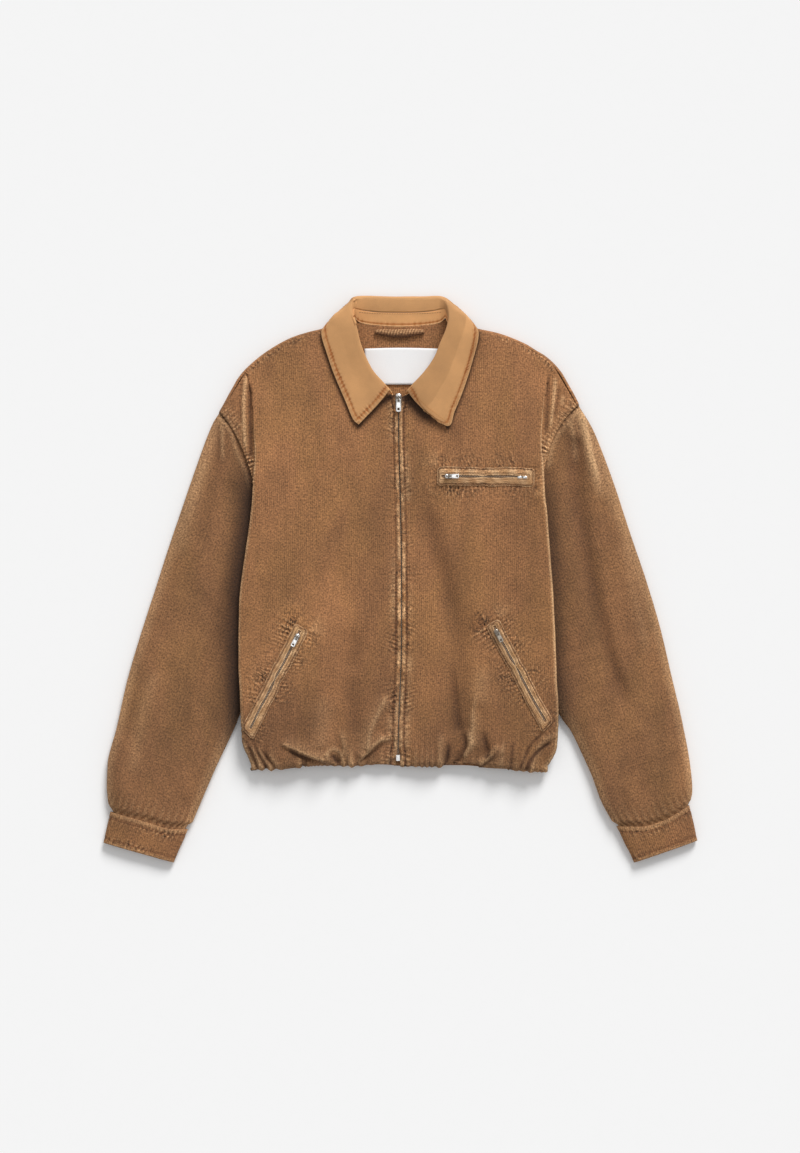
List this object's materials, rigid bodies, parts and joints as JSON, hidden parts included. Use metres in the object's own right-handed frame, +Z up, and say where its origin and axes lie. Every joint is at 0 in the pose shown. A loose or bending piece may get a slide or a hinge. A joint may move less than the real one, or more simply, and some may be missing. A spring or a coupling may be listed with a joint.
{
  "type": "corduroy jacket laid flat",
  "caption": "Corduroy blouson jacket laid flat on its back and zipped up, with a plain pointed collar, banded cuffs, gathered hem and slanted zip pockets.",
  "frame": {"origin": "on the table under the middle of the jacket, at the middle of its width and of its length", "axes": "+X towards the wearer's left sleeve, +Y from the hem to the collar, +Z up from the table, out of the front"},
  "size_m": [0.807, 0.769, 0.0283],
  "materials": {
    "corduroy": "ribbed cotton pile, washed at the seams",
    "collar_twill": "smooth cotton twill",
    "label_cloth": "plain white woven label",
    "zip_tape_cloth": "woven zip tape",
    "nickel": "plated zinc"
  },
  "bodies": {
    "jacket": {"back": "corduroy", "chest_slider": "nickel", "chest_welt_lower": "corduroy", "chest_welt_upper": "corduroy", "chest_zip": "zip_tape_cloth", "collar_fall": "collar_twill", "collar_stand": "collar_twill", "cuff_left": "corduroy", "cuff_right": "corduroy", "front_left": "corduroy", "front_right": "corduroy", "hanger_loop": "corduroy", "neck_facing": "corduroy", "neck_label": "label_cloth", "pocket_left_slider": "nickel", "pocket_left_welt_lower": "corduroy", "pocket_left_welt_upper": "corduroy", "pocket_left_zip": "zip_tape_cloth", "pocket_right_slider": "nickel", "pocket_right_welt_lower": "corduroy", "pocket_right_welt_upper": "corduroy", "pocket_right_zip": "zip_tape_cloth", "sleeve_left": "corduroy", "sleeve_right": "corduroy", "zip_slider": "nickel", "zip_stop": "nickel", "zip_tape_left": "zip_tape_cloth", "zip_tape_right": "zip_tape_cloth"},
    "zip_pull_tab": {"zip_pull": "nickel"},
    "chest_pull_tab": {"chest_pull": "nickel"},
    "pocket_right_pull_tab": {"pocket_right_pull": "nickel"},
    "pocket_left_pull_tab": {"pocket_left_pull": "nickel"}
  },
  "joints": [
    {"name": "zip_pull_hinge", "type": "hinge", "parent": "jacket", "child": "zip_pull_tab", "pos_m": [-0.002, 0.24329, 0.01679], "axis": [-1, 0, -0.0001], "range_deg": [0, 120]},
    {"name": "chest_pull_hinge", "type": "hinge", "parent": "jacket", "child": "chest_pull_tab", "pos_m": [0.06737, 0.13936, 0.01926], "axis": [-0.0126, -0.9999, 0.0061], "range_deg": [0, 120]},
    {"name": "pocket_right_pull_hinge", "type": "hinge", "parent": "jacket", "child": "pocket_right_pull_tab", "pos_m": [-0.1402, -0.08009, 0.0242], "axis": [-0.8882, 0.4538, 0.0723], "range_deg": [0, 120]},
    {"name": "pocket_left_pull_hinge", "type": "hinge", "parent": "jacket", "child": "pocket_left_pull_tab", "pos_m": [0.13198, -0.07394, 0.02384], "axis": [-0.8771, -0.4745, -0.075], "range_deg": [0, 120]}
  ]
}
